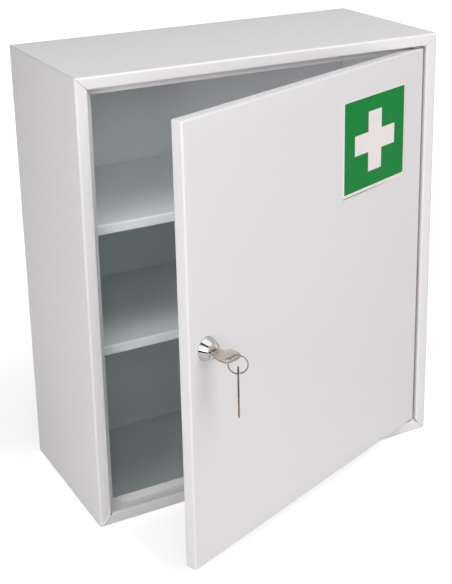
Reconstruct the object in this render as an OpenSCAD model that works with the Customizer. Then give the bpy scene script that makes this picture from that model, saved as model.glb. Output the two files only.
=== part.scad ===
// Lockable steel medicine cabinet, as an assembly of separate pieces.
// Frame: X to the right, Y to the wall, Z up. The origin is the centre of the
// base face. The door stands open about its hinge pins by door_open degrees.

/* [Cabinet] */
// Width over the side walls
case_w = 400; // [320:10:600]
// Height over the top and bottom walls
case_h = 460; // [400:10:800]
// Depth from the front frame to the wall
case_d = 180; // [150:5:300]
// Thickness of the sheet steel
sheet = 1; // [0.8:0.1:1.2]
// Width of the folded front frame
frame_face = 12.5; // [12:0.5:20]
// Depth of the frame, from its face to the door stop
frame_return = 14.5; // [14.5:0.5:20]
// Reach of the door stop into the opening
stop_lip = 7.5; // [5:0.5:9]
// Reach of the rear flanges that lie on the wall
rear_lip = 15; // [12:1:25]
// Open joint between two mitred panels
mitre_gap = 0.3; // [0.2:0.1:0.6]

/* [Wall holes] */
// Diameter of the screw holes in the back
wall_hole_d = 7; // [4:0.5:9]
// Distance between the holes, side to side
wall_hole_x = 220; // [120:10:300]
// Distance between the holes, up and down
wall_hole_z = 210; // [120:10:280]

/* [Shelves] */
// Height of the lower shelf above the base
lower_shelf_z = 187; // [120:1:200]
// Height of the upper shelf above the base
upper_shelf_z = 312; // [270:1:340]
// Height of a shelf's folded front edge
shelf_edge = 10; // [8:1:16]
// Height of a shelf's rear upstand
shelf_upstand = 5.5; // [3:0.5:12]
// Gap between a loose shelf and what it rests on
shelf_play = 0.3; // [0.3:0.1:1]

/* [Door] */
// Angle by which the door stands open
door_open = 21.3; // [0:0.1:110]
// Depth of the folded door panel
door_depth = 13; // [12:0.5:13]
// Gap beside the door on the lock side
gap_lock = 2; // [1.5:0.1:4]
// Gap beside the door on the hinge side
gap_hinge = 4.2; // [4:0.1:6]
// Gap above the door
gap_top = 2.5; // [2.2:0.1:4]
// Gap below the door
gap_bottom = 2; // [2:0.1:4]
// Width of the hems folded in behind the door
door_hem = 6.5; // [6:0.5:8]
// Distance of the hinge axis from the door's hinge edge
hinge_inset = 5; // [5:0.1:6]
// Distance of the hinge axis behind the door's face
hinge_depth = 5.5; // [5.3:0.1:5.8]
// Diameter of the hinge pins
hinge_pin_d = 5; // [4:0.5:5]

/* [Lock] */
// Distance of the lock's axis from the door's free edge
lock_inset = 22; // [20:0.5:40]
// Height of the lock's axis above the base
lock_z = 233; // [222:0.1:260]
// Diameter of the trim collar on the door
collar_d = 23; // [22:0.2:28]
// Height of the lock's face above the door
lock_face = 9.3; // [9:0.1:11]
// Diameter of the lock barrel
barrel_d = 16; // [16:0.5:17]
// Diameter of the lock plug
plug_d = 13; // [12.6:0.1:13]
// Running clearance round the plug, on the radius
plug_fit = 0.05; // [0.02:0.01:0.1]
// Reach of the cam from the lock's axis
cam_reach = 30; // [28:0.5:34]

/* [Keys] */
// Overall length of a key
key_len = 46.1; // [44:0.1:50]
// Thickness of a key
key_t = 1.8; // [1.6:0.1:2]
// Width of the blade
blade_w = 7.4; // [6.4:0.1:7.4]
// Depth that the blade reaches behind the door's face
blade_depth = 10.5; // [10:0.1:11.5]
// Mean radius of the split ring
ring_r = 8.7; // [8.5:0.1:8.9]
// Width of the ring's wire, measured along its radius
ring_wire = 1.1; // [0.8:0.1:1.1]
// Angle between the ring's plane and the key in the lock
ring_yaw = 40.7; // [40:0.1:42]

/* [First-aid sign] */
// Width of the green field
sign_w = 104; // [80:1:120]
// Height of the green field
sign_h = 93; // [80:1:120]
// Distance of the field from the door's hinge edge
sign_inset = 36; // [20:1:60]
// Distance of the field from the door's top edge
sign_drop = 32; // [20:1:60]

/* [Hidden] */
$fn = 48;

front_y = -case_d / 2;
back_y = case_d / 2;
front_bend = 1.2;      // inner radius of the bends round the frame's face
rear_bend = 2;         // inner radius of the bends onto the wall
stop_bend = 0.8;       // inner radius of the bends at the door stop

door_l = -case_w / 2 + frame_face + gap_lock;
door_r = case_w / 2 - frame_face - gap_hinge;
door_b = frame_face + gap_bottom;
door_t = case_h - frame_face - gap_top;
door_bend = 2;         // outer radius of the door's bends
hinge_x = door_r - hinge_inset;
hinge_y = front_y + hinge_depth;
bush_r = 3.4;          // body of a door bush
bush_flange_r = 4.6;
pin_fit = 0.05;        // running clearance of a pin in its bush, on the radius
pin_grip = 8;          // length of pin inside the door
rivet_r = 3.4;
rivet_h = 1.5;

stop_front = front_y + frame_return;
shelf_front = stop_front + 2;
shelf_back = back_y - 2 * sheet - 0.5;
shelf_half = case_w / 2 - sheet - 1.3;
peg_r = 2.5;
peg_len = 6;
peg_inset = 30;        // distance of the pegs from the front and the back of a shelf

head_t = 0.8;          // rim of the lock's housing over the trim collar
collar_foot = 0.8;      // thickness of the trim collar's foot
collar_slope = 3.1;     // the collar's mouth is narrower than its foot by this, on the radius
plug_head_r = 6.8;
plug_head_h = 1;
plug_back = -frame_return - 1.5; // rear face of the housing, behind the door's face
cam_t = 2;
cam_gap = 0.35;
cam_square = 8;
screw_r = 1.6;
cam_rear = plug_back - cam_gap - cam_t;
slot_w = 8;            // keyway, across the blade
slot_h = key_t + 0.6;
wafer_n = 5;
wafer_pitch = 2.9;
wafer_t = 1.1;
wafer_h = 6.6;
wafer_first = -8.4;    // first wafer, counted from the blade's tip

bow_shoulder = 17.4;     // where a key's bow is full width, above the door's face
bow_end = key_len - blade_depth;
eye_low = bow_end - 7;
eye_high = bow_end - 2.9;
eye_left = -8.3;
eye_right = 7.3;
ring_side = 2.2;       // where the ring hangs across the bow
ring_n = bow_end - 0.6;
ring_drop = 6.1;       // centre of the ring below the key
coil_t = 0.58;         // thickness of one of the ring's two coils
coil_gap = 0.04;
spare_shift = 0.3;     // the spare key hangs from above its centre of mass

sign_t = 0.3;
field_t = 0.2;
sign_margin = [1, 1, 2.5, 4]; // white edge at the left, top, right and bottom
cross_span = 0.67;     // the cross's span and arm, as parts of the field's sides
cross_arm = 0.225;

steel_white = [0.90, 0.91, 0.91];
steel_shade = [0.84, 0.86, 0.86];
zinc = [0.72, 0.73, 0.74];
chrome = [0.80, 0.82, 0.85];
nickel = [0.74, 0.71, 0.64];
nylon = [0.93, 0.92, 0.88];
safety_green = [0.05, 0.50, 0.25];

// ---------- shared shapes ----------

function heading(a, b) = atan2(b[1] - a[1], b[0] - a[0]);
function turn(path, i) =
    cross(path[i] - path[i - 1], path[i + 1] - path[i]) > 0 ? 1 : -1;
function trim(path, bends, i) =
    (i == 0 || i == len(path) - 1) ? 0 : bends[i] + (turn(path, i) > 0 ? sheet : 0);

// Section of a sheet folded at right angles along a path, with the sheet on the
// path's left. bends holds the inner radius at each corner.
module folded_section(path, bends) {
    for (i = [0 : len(path) - 2]) {
        start = trim(path, bends, i);
        run = norm(path[i + 1] - path[i]) - start - trim(path, bends, i + 1);
        translate(path[i])
            rotate(heading(path[i], path[i + 1]))
                translate([start, 0]) square([run, sheet]);
    }
    for (i = [1 : len(path) - 2]) {
        side = turn(path, i);
        reach = trim(path, bends, i);
        outer = bends[i] + sheet;
        translate(path[i])
            rotate(heading(path[i - 1], path[i]))
                translate([-reach, side * reach])
                    intersection() {
                        difference() {
                            circle(outer);
                            circle(bends[i]);
                        }
                        translate([0, side > 0 ? -outer : 0]) square(outer);
                    }
    }
}

// One wall of the case with its front frame, door stop and rear flange, its ends
// cut to 45 degree mitres. X runs inwards from the wall, Y to the back, Z along it.
module case_wall(length) {
    path = [
        [rear_lip, case_d], [0, case_d], [0, 0], [frame_face, 0],
        [frame_face, frame_return], [frame_face + stop_lip, frame_return]
    ];
    bends = [0, rear_bend, front_bend, front_bend, stop_bend, 0];
    reach = frame_face + stop_lip + 5;
    half_gap = mitre_gap / 2;
    intersection() {
        linear_extrude(length) folded_section(path, bends);
        translate([0, case_d + 1, 0]) rotate([90, 0, 0])
            linear_extrude(case_d + 2)
                polygon([
                    [-1, half_gap - 1], [reach, reach + half_gap],
                    [reach, length - reach - half_gap], [-1, length + 1 - half_gap]
                ]);
    }
}

// Rectangle with round corners, from its lower left corner
module rounded_rect(size, r) {
    translate([r, 0]) square([size[0] - 2 * r, size[1]]);
    translate([0, r]) square([size[0], size[1] - 2 * r]);
    for (x = [r, size[0] - r], y = [r, size[1] - r])
        translate([x, y]) circle(r);
}

// Block with rounded front and rear edges, shrunk by inset on every side
module door_blank(inset) {
    w = door_r - door_l - 2 * inset;
    d = door_depth - 2 * inset;
    h = door_t - door_b - 2 * inset;
    r = door_bend - inset;
    translate([door_l + inset, front_y + inset, door_b + inset])
        intersection() {
            linear_extrude(h) rounded_rect([w, d], r);
            rotate([90, 0, 90]) linear_extrude(w) rounded_rect([d, h], r);
        }
}

// Places the closed door's pieces on the open door
module on_door() {
    translate([hinge_x, hinge_y, 0]) rotate([0, 0, door_open])
        translate([-hinge_x, -hinge_y, 0]) children();
}

// Places a lock piece: Z runs out of the door along the lock's axis, Y is up
module on_lock() {
    on_door() translate([door_l + lock_inset, front_y, lock_z])
        rotate([90, 0, 0]) children();
}

// Places what belongs to the ring: X and Y lie in its plane, Y is up
module on_ring() {
    on_lock() translate([ring_side, -ring_drop, ring_n])
        rotate([0, ring_yaw - 90, 0]) children();
}

module tube(h, r_out, r_in) {
    difference() {
        cylinder(h = h, r = r_out);
        translate([0, 0, -1]) cylinder(h = h + 2, r = r_in);
    }
}

// ---------- case ----------

module left_side() {
    color(steel_shade) translate([-case_w / 2, front_y, 0]) case_wall(case_h);
}

module right_side() {
    color(steel_shade) mirror([1, 0, 0])
        translate([-case_w / 2, front_y, 0]) case_wall(case_h);
}

module lying_wall() {
    translate([case_w / 2, front_y, 0]) rotate([0, -90, 0]) case_wall(case_w);
}

module hinge_bore(z) {
    translate([hinge_x, hinge_y, z - 2]) cylinder(h = 4, r = hinge_pin_d / 2);
}

module top_panel() {
    color(steel_white) difference() {
        translate([0, 0, case_h]) mirror([0, 0, 1]) lying_wall();
        hinge_bore(case_h - frame_face);
    }
}

module bottom_panel() {
    color(steel_shade) difference() {
        lying_wall();
        hinge_bore(frame_face);
    }
}

module back_panel() {
    side = sheet + rear_bend;
    color(steel_shade) difference() {
        translate([-case_w / 2 + side, back_y - 2 * sheet, side])
            cube([case_w - 2 * side, sheet, case_h - 2 * side]);
        for (x = [-1, 1], z = [-1, 1])
            translate([x * wall_hole_x / 2, back_y + 1, case_h / 2 + z * wall_hole_z / 2])
                rotate([90, 0, 0]) cylinder(h = 4, d = wall_hole_d);
    }
}

// Four pegs under each shelf, welded to the side walls by their flanges
module shelf_pegs() {
    for (shelf_z = [lower_shelf_z, upper_shelf_z], side = [-1, 1],
         y = [shelf_front + peg_inset, shelf_back - peg_inset])
        color(zinc)
            translate([side * (case_w / 2 - sheet), y,
                       shelf_z - shelf_edge - shelf_play - peg_r])
                rotate([0, -90 * side, 0]) {
                    cylinder(h = 0.8, r = peg_r + 1.5);
                    cylinder(h = peg_len, r = peg_r);
                }
}

// Pin riveted in the frame, pointing into the door. Z runs into the door from
// the frame's surface.
module hinge_pin(gap) {
    r = hinge_pin_d / 2;
    tip = gap + pin_grip;
    rotate_extrude()
        polygon([
            [0, -sheet - rivet_h], [rivet_r - 0.8, -sheet - rivet_h],
            [rivet_r, -sheet - 0.6], [rivet_r, -sheet], [r, -sheet],
            [r, tip - 0.7], [r - 0.7, tip], [0, tip]
        ]);
}

module upper_hinge_pin() {
    color(zinc) translate([hinge_x, hinge_y, case_h - frame_face])
        mirror([0, 0, 1]) hinge_pin(gap_top);
}

module lower_hinge_pin() {
    color(zinc) translate([hinge_x, hinge_y, frame_face]) hinge_pin(gap_bottom);
}

// ---------- door ----------

module door_panel() {
    window = door_hem + sheet;
    color(steel_white) on_door() difference() {
        door_blank(0);
        door_blank(sheet);
        translate([door_l + window, front_y + door_depth - 2 * sheet, door_b + window])
            cube([door_r - door_l - 2 * window, 3 * sheet, door_t - door_b - 2 * window]);
        for (z = [door_b, door_t])
            translate([hinge_x, hinge_y, z - 2]) cylinder(h = 4, r = bush_r);
        translate([door_l + lock_inset, front_y, lock_z]) rotate([90, 0, 0])
            translate([0, 0, -2]) barrel_section(4);
    }
}

// Flanged nylon bush. Z runs into the door from its edge; the flange fills the
// gap outside.
module door_bush(gap) {
    bore = hinge_pin_d / 2 + pin_fit;
    rotate_extrude()
        polygon([
            [bore, shelf_play - gap], [bush_flange_r - 0.4, shelf_play - gap],
            [bush_flange_r, shelf_play - gap + 0.4], [bush_flange_r, 0],
            [bush_r, 0], [bush_r, 4], [bush_r - 0.4, 4.4], [bore, 4.4]
        ]);
}

module upper_door_bush() {
    color(nylon) on_door() translate([hinge_x, hinge_y, door_t])
        mirror([0, 0, 1]) door_bush(gap_top);
}

module lower_door_bush() {
    color(nylon) on_door() translate([hinge_x, hinge_y, door_b]) door_bush(gap_bottom);
}

// Lower left corner of the green field, on the closed door's face
module on_sign(lift) {
    on_door()
        translate([door_r - sign_inset - sign_w, front_y - lift, door_t - sign_drop - sign_h])
            rotate([90, 0, 0]) children();
}

module sign_backing() {
    color("white") on_sign(0)
        translate([-sign_margin[0], -sign_margin[3], 0])
            linear_extrude(sign_t)
                square([sign_w + sign_margin[0] + sign_margin[2],
                        sign_h + sign_margin[1] + sign_margin[3]]);
}

// Green film with the cross cut out of it
module sign_field() {
    color(safety_green) on_sign(sign_t) linear_extrude(field_t) difference() {
        square([sign_w, sign_h]);
        translate([sign_w, sign_h] / 2) {
            square([sign_w * cross_span, sign_h * cross_arm], center = true);
            square([sign_w * cross_arm, sign_h * cross_span], center = true);
        }
    }
}

// ---------- lock ----------

// The barrel has two flats that stop it turning in the door
module barrel_section(h) {
    intersection() {
        cylinder(h = h, d = barrel_d);
        translate([-barrel_d, -barrel_d / 2 + 0.5, -1])
            cube([2 * barrel_d, barrel_d - 1, h + 2]);
    }
}

// Cone-shaped trim collar between the door and the lock's rim
module lock_collar() {
    r = collar_d / 2;
    top = lock_face - head_t;
    color(chrome) on_lock() rotate_extrude(convexity = 4)
        difference() {
            polygon([[0, 0], [r, 0], [r, collar_foot], [r - collar_slope, top], [0, top]]);
            translate([0, -1]) square([barrel_d / 2 + 0.05, top + 2]);
        }
}

module lock_housing() {
    rim_r = collar_d / 2 - collar_slope;
    color(chrome) on_lock() difference() {
        union() {
            translate([0, 0, plug_back]) barrel_section(lock_face - head_t - plug_back);
            translate([0, 0, lock_face - head_t]) rotate_extrude()
                polygon([[0, 0], [rim_r, 0], [rim_r - 0.3, head_t], [0, head_t]]);
        }
        translate([0, 0, plug_back - 1])
            cylinder(h = lock_face - plug_back + 2, r = plug_d / 2 + plug_fit);
        translate([0, 0, lock_face - plug_head_h - cam_gap])
            cylinder(h = plug_head_h + 2, r = plug_head_r + plug_fit);
        // grooves that the wafers drop into when the key is out
        translate([-plug_d / 2 - 0.7, -wafer_h / 2 - 0.2, -blade_depth - 1])
            cube([plug_d + 1.4, wafer_h + 0.4, wafer_n * wafer_pitch + 1.5]);
    }
}

module lock_nut() {
    h = 4;
    color(zinc) on_lock() translate([0, 0, -sheet - h]) difference() {
        intersection() {
            cylinder(h = h, d = 25, $fn = 6);
            rotate_extrude() polygon([[0, 0], [12.5, 0], [12.5, h - 1], [11, h], [0, h]]);
        }
        translate([0, 0, -1]) cylinder(h = h + 2, r = barrel_d / 2 + 0.02);
    }
}

function wafer_z(i) = wafer_first + i * wafer_pitch;

module lock_plug() {
    color(nickel) on_lock() difference() {
        union() {
            translate([0, 0, plug_back - cam_gap])
                cylinder(h = lock_face - plug_back + cam_gap - 0.5, r = plug_d / 2);
            translate([0, 0, lock_face - plug_head_h])
                cylinder(h = plug_head_h - 0.3, r = plug_head_r);
            translate([-cam_square / 2, -cam_square / 2, cam_rear])
                cube([cam_square, cam_square, cam_t + 1]);
        }
        translate([-slot_w / 2, -slot_h / 2, -blade_depth - 0.5])
            cube([slot_w, slot_h, lock_face + blade_depth + 2]);
        for (i = [0 : wafer_n - 1])
            translate([-plug_d, -wafer_h / 2 - 0.1, wafer_z(i) - 0.1])
                cube([2 * plug_d, wafer_h + 0.2, wafer_t + 0.2]);
        translate([0, 0, cam_rear - 1]) cylinder(h = 6, r = screw_r);
    }
}

// Flat plates in the plug, each with a window that the key passes through
module lock_wafers() {
    color("goldenrod") on_lock() for (i = [0 : wafer_n - 1])
        translate([0, 0, wafer_z(i)]) difference() {
            intersection() {
                cylinder(h = wafer_t, r = plug_d / 2 - 0.1);
                translate([-plug_d, -wafer_h / 2, -1]) cube([2 * plug_d, wafer_h, wafer_t + 2]);
            }
            translate([-slot_w / 2, -slot_h / 2, -1]) cube([slot_w, slot_h, wafer_t + 2]);
        }
}

// Flat cam on the plug's square tail, hanging down while the lock is open
module lock_cam() {
    hub_r = 9;
    tip_r = 6;
    hole = cam_square + 0.04;
    color(zinc) on_lock() translate([0, 0, cam_rear]) difference() {
        union() {
            cylinder(h = cam_t, r = hub_r);
            translate([0, tip_r - cam_reach, 0]) cylinder(h = cam_t, r = tip_r);
            linear_extrude(cam_t)
                polygon([
                    [-hub_r + 0.6, 1], [hub_r - 0.6, 1],
                    [tip_r - 0.2, tip_r - cam_reach], [0.2 - tip_r, tip_r - cam_reach]
                ]);
        }
        translate([-hole / 2, -hole / 2, -1]) cube([hole, hole, cam_t + 2]);
    }
}

module cam_washer() {
    color(zinc) on_lock() translate([0, 0, cam_rear - 0.8]) tube(0.8, 6.5, 2.1);
}

// Pan-head screw up the plug's tail
module cam_screw() {
    top = cam_rear - 0.8;
    color(zinc) on_lock() difference() {
        union() {
            translate([0, 0, top]) cylinder(h = 5, r = screw_r);
            translate([0, 0, top - 2.6]) rotate_extrude()
                polygon([[0, 0], [3, 0], [4, 1], [4.2, 2.6], [0, 2.6]]);
        }
        for (a = [0, 90]) rotate(a) translate([-2.4, -0.45, top - 3.6]) cube([4.8, 0.9, 2.2]);
    }
}

// ---------- keys ----------

// Outline of the bow: a wide rounded plate on a short neck, with one square
// shoulder and one sloping one. Y runs away from the lock.
module bow_outline() {
    half = 11.7;
    offset(r = 1.5) offset(delta = -1.5)
        polygon([
            [-blade_w / 2, lock_face + 0.4], [-5.2, lock_face + 0.4],
            [-9.2, bow_shoulder], [-half, bow_end - 10], [-half, bow_end - 3.6],
            [-8, bow_end - 0.7], [0, bow_end], [6.5, bow_end - 0.7],
            [half - 1.7, bow_end - 4.2], [half - 0.2, bow_end - 13], [half - 0.4, bow_shoulder],
            [6, bow_shoulder - 1], [5, lock_face + 0.4], [blade_w / 2, lock_face + 0.4]
        ]);
}

// Blade with a chamfered tip and shallow cuts on both edges, one at each wafer
module blade_outline() {
    half = blade_w / 2;
    cuts = [0.5, 0.9, 0.4, 0.8, 0.6];
    difference() {
        polygon([
            [-half + 1.6, -blade_depth], [half - 1.6, -blade_depth],
            [half, -blade_depth + 2], [half, lock_face + 2],
            [-half, lock_face + 2], [-half, -blade_depth + 2]
        ]);
        for (i = [0 : wafer_n - 1], side = [-1, 1])
            translate([side * half, wafer_z(i) + wafer_t / 2])
                polygon([
                    [side, -1.4], [side, 1.4],
                    [-side * cuts[i], 0.5], [-side * cuts[i], -0.5]
                ]);
    }
}

// A key in the lock's frame: Z along the blade, X across it
module key_shape() {
    difference() {
        rotate([90, 0, 0]) translate([0, 0, -key_t / 2]) linear_extrude(key_t)
            difference() {
                union() {
                    bow_outline();
                    blade_outline();
                }
                eye_outline();
            }
        // groove milled along each face of the blade
        for (side = [-1, 1])
            translate([side * 1.2 - 0.7, side > 0 ? key_t / 2 - 0.5 : -key_t / 2 - 0.5,
                       -blade_depth - 1])
                cube([1.4, 1, lock_face + blade_depth + 2]);
    }
}

module eye_outline() {
    r = (eye_high - eye_low) / 2;
    translate([eye_left + r, eye_low]) square([eye_right - eye_left - 2 * r, 2 * r]);
    for (x = [eye_left + r, eye_right - r]) translate([x, eye_low + r]) circle(r);
}

module key() {
    color(nickel) on_lock() key_shape();
}

// Band round the ring's axis, wider than the wire by extra on either side
module ring_band(thick, extra, angle) {
    rotate_extrude(angle = angle, convexity = 4)
        translate([ring_r - ring_wire / 2 - extra, -thick / 2])
            square([ring_wire + 2 * extra, thick]);
}

// One wire wound twice round: the slit between its coils stops short of a full
// turn, where the wire crosses over, and each coil is cut through at its end
module key_ring() {
    slit_turn = 334;
    end_cut = 0.6;
    color(zinc) on_ring() rotate([0, 0, 20]) difference() {
        ring_band(2 * coil_t + coil_gap, 0, 360);
        ring_band(coil_gap, 1, slit_turn);
        rotate([0, 0, 2])
            translate([ring_r - ring_wire, 0, 0]) cube([2 * ring_wire, end_cut, 1]);
        rotate([0, 0, slit_turn - 2])
            translate([ring_r - ring_wire, -end_cut, -1]) cube([2 * ring_wire, end_cut, 1]);
    }
}

// The same key again, hanging by its eye from the lowest point of the ring
module spare_key() {
    hang = eye_high - ring_wire / 2 - 0.4;
    color(nickel) on_ring() translate([0, -ring_r, 0])
        rotate(a = -120, v = [1, 1, 1])
            translate([-spare_shift, 0, -hang]) key_shape();
}

// ---------- shelves ----------

// Tray shelf: hemmed front edge, folded sides and a low rear upstand
module shelf(z) {
    hem = 8;
    path = [
        [shelf_front + hem, -shelf_edge], [shelf_front, -shelf_edge], [shelf_front, 0],
        [shelf_back - sheet, 0], [shelf_back - sheet, shelf_upstand]
    ];
    bends = [0, 0.6, 0.8, 0.6, 0];
    translate([-shelf_half, 0, z]) {
        rotate([90, 0, 90]) linear_extrude(2 * shelf_half) mirror_section(path, bends);
        for (x = [0, 2 * shelf_half - sheet])
            translate([x, shelf_front + 3, -shelf_edge])
                cube([sheet, shelf_back - shelf_front - 6, shelf_edge]);
    }
}

// folded_section with the sheet on the path's right
module mirror_section(path, bends) {
    mirror([0, 1]) folded_section([for (p = path) [p[0], -p[1]]], bends);
}

module upper_shelf() {
    color(steel_white) shelf(upper_shelf_z);
}

module lower_shelf() {
    color(steel_white) shelf(lower_shelf_z);
}

left_side();
right_side();
top_panel();
bottom_panel();
back_panel();
shelf_pegs();
upper_hinge_pin();
lower_hinge_pin();
door_panel();
upper_door_bush();
lower_door_bush();
sign_backing();
sign_field();
lock_collar();
lock_housing();
lock_nut();
lock_plug();
lock_wafers();
lock_cam();
cam_washer();
cam_screw();
key();
key_ring();
spare_key();
upper_shelf();
lower_shelf();
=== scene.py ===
# %% [markdown]
# # A lockable steel medicine cabinet
#
# The cabinet is folded from 1 mm sheet steel and powder coated white: a case of four
# walls that meet in mitres, two loose shelves, and a door that hangs on two pins. A
# small cam lock holds the door, with a key in it and a spare key on a split ring.
# Every surface below is a formula on a grid, worked out in millimetres and put into
# the mesh in metres.

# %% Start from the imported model
import math
import bmesh
import bpy
import numpy as np
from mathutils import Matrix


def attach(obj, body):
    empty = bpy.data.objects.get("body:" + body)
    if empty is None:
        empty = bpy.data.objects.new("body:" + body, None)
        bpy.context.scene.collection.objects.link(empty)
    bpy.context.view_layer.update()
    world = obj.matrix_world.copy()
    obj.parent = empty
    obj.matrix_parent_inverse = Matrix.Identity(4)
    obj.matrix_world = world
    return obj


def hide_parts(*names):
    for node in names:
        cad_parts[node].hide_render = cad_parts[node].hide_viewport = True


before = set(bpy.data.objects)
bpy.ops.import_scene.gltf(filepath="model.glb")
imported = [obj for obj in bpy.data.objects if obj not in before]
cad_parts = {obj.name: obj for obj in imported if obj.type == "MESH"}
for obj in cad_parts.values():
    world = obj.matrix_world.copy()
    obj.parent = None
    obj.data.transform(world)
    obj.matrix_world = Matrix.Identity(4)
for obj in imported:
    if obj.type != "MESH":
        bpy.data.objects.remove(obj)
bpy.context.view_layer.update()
scene = bpy.context.scene
MM = 0.001

# %% [markdown]
# ## The camera
#
# A camera is a place, a direction and a lens. This one stands in front of the cabinet,
# to its left and above it, and looks down at it a little. The lens shift slides the
# picture without turning the camera, as an architect's camera does, so the upright
# edges keep their true slope. A Track To constraint could aim the camera, but it always
# keeps it level, so here the whole matrix is worked out from an axis and an angle.

# %% Place the camera
LONG_SIDE, SHORT_SIDE = 584, 452
SENSOR = 36.0
CAMERA_PLACE = (-578.6, -1108.0, 705.2)
CAMERA_TURN = (1.8362, -0.4951, 0.3465)
FOCAL, LENS_MIDDLE = 1236.0, (272, 190)


def point_camera(place, turn, focal, centre):
    """Camera at place (mm). turn is the axis times the angle of the rotation from the
    room to the camera; focal and centre are the lens's length and middle in pixels."""
    angle = np.linalg.norm(turn)
    k = np.array(turn) / angle
    cross = np.array([[0, -k[2], k[1]], [k[2], 0, -k[0]], [-k[1], k[0], 0]])
    rows = np.eye(3) + math.sin(angle) * cross + (1 - math.cos(angle)) * cross @ cross
    pose = np.eye(4)
    pose[:3, :3] = np.stack([rows[0], -rows[1], -rows[2]], axis=1)
    pose[:3, 3] = np.array(place) * MM
    data = bpy.data.cameras.new("camera")
    data.sensor_width = SENSOR
    data.lens = focal * SENSOR / LONG_SIDE
    data.shift_x = (SHORT_SIDE / 2 - centre[0]) / LONG_SIDE
    data.shift_y = (centre[1] - LONG_SIDE / 2) / LONG_SIDE
    camera = bpy.data.objects.new("camera", data)
    camera.matrix_world = pose.T.tolist()
    scene.collection.objects.link(camera)
    scene.camera = camera
    return camera


camera = point_camera(CAMERA_PLACE, CAMERA_TURN, FOCAL, LENS_MIDDLE)
scene.view_settings.view_transform = "Standard"
print("lens, mm:", round(camera.data.lens, 1))

# %% [markdown]
# ## Surfaces on a grid
#
# Most of what follows is a grid of points: rows of the same section, carried along a
# wall, round an axis or round an outline. Extruding and bevelling by hand would give
# such shapes too, but a formula on a grid says exactly where each point lies. One
# helper numbers the quads between the points, and one closes a grid's ends.

# %% Grid helpers
def grid_quads(rows, cols, close_rows=False, close_cols=False):
    """Quads of a grid: each joins a point to the next in its row and to the same two
    in the next row. A closed direction runs from the last one back to the first."""
    r = np.arange(rows if close_rows else rows - 1)[:, None]
    c = np.arange(cols if close_cols else cols - 1)[None, :]
    r2, c2 = (r + 1) % rows, (c + 1) % cols
    return np.stack([r * cols + c, r * cols + c2, r2 * cols + c2, r2 * cols + c], -1).reshape(-1, 4)


def sheet_of(points, close_rows=False, close_cols=False, caps=()):
    """A grid of points (rows, columns, 3) as (points, faces). caps names rows, 0 or
    -1, that are closed with one flat face."""
    rows, cols = points.shape[:2]
    faces = grid_quads(rows, cols, close_rows, close_cols).tolist()
    faces += [[(row % rows) * cols + i for i in range(cols)] for row in caps]
    return points.reshape(-1, 3), faces


# %% [markdown]
# A piece is one or more grids, put where they belong on the cabinet. Grids meet in
# double points, which are merged, and the faces are then turned outwards. Folded steel
# and plating have no knife edges, so on the pieces that ask for it a small Bevel rounds
# every edge that is sharp enough. It is a modifier, so the grids stay as simple as their
# formulas.

# %% Make a piece from grids
WELD, SLIVER = 0.002, 0.001
SMOOTH_BELOW, BEVEL_ABOVE = 32, 50


def in_case(points):
    """Points of the fixed case are already where they belong."""
    return points


def make_piece(name, parts, place, body, material, stands_for, soften=0.0):
    """One object from grids. Doubles are merged and faces turned outwards; creases
    sharper than SMOOTH_BELOW degrees stay, and soften rounds by that many mm the ones
    sharper than BEVEL_ABOVE degrees."""
    bottom, points, faces = 0, [], []
    for part_points, part_faces in parts:
        points.append(part_points)
        faces += [[i + bottom for i in face] for face in part_faces]
        bottom += len(part_points)
    mesh = bpy.data.meshes.new(name)
    mesh.from_pydata((place(np.concatenate(points)) * MM).tolist(), [], faces)
    work = bmesh.new()
    work.from_mesh(mesh)
    bmesh.ops.remove_doubles(work, verts=work.verts, dist=WELD * MM)
    bmesh.ops.dissolve_degenerate(work, edges=work.edges, dist=SLIVER * MM)
    bmesh.ops.recalc_face_normals(work, faces=work.faces)
    work.to_mesh(mesh)
    work.free()
    mesh.shade_smooth()
    mesh.set_sharp_from_angle(angle=math.radians(SMOOTH_BELOW))
    mesh.materials.append(material)
    piece = bpy.data.objects.new(name, mesh)
    scene.collection.objects.link(piece)
    if soften:
        bevel = piece.modifiers.new("soft edges", "BEVEL")
        bevel.limit_method = "ANGLE"
        bevel.angle_limit = math.radians(BEVEL_ABOVE)
        bevel.width = soften * MM
        bevel.segments = 3
        bevel.harden_normals = True
    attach(piece, body)
    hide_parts(*stands_for)
    print(name, len(mesh.vertices), "points")
    return piece


# %% [markdown]
# ## Finishes
#
# No finish here is one flat colour. Each is a shader whose colour, roughness and bump
# come from noise, spread over a small range. An image could do the same, but it needs
# a UV map and a file. Noise on Object coordinates needs neither, and its pattern stays
# on the steel when the door swings.

# %% Noise as a number
def start_material(name):
    """A new shader material: itself, its nodes, the shader and the Object coordinates"""
    material = bpy.data.materials.new(name)
    material.use_nodes = True
    tree = material.node_tree
    shader = tree.nodes["Principled BSDF"]
    place = tree.nodes.new("ShaderNodeTexCoord")
    return material, tree, shader, place.outputs["Object"]


def add_noise(tree, place, scale, detail=2.0):
    """Noise with about `scale` grains to the metre"""
    noise = tree.nodes.new("ShaderNodeTexNoise")
    noise.inputs["Scale"].default_value = scale
    noise.inputs["Detail"].default_value = detail
    tree.links.new(place, noise.inputs["Vector"])
    return noise.outputs["Fac"]


def add_range(tree, value, low, high, start=0.35, end=0.65):
    """Noise from start to end, spread over low to high"""
    node = tree.nodes.new("ShaderNodeMapRange")
    for key, number in (("From Min", start), ("From Max", end), ("To Min", low), ("To Max", high)):
        node.inputs[key].default_value = number
    tree.links.new(value, node.inputs["Value"])
    return node.outputs["Result"]


# %% [markdown]
# A number from 0 to 1 can blend two colours, or stand for a height. A Bump node turns
# heights into a slightly tilted surface. Displacement would move the points for real,
# but a few hundredths of a millimetre aren't worth millions of faces.

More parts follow.
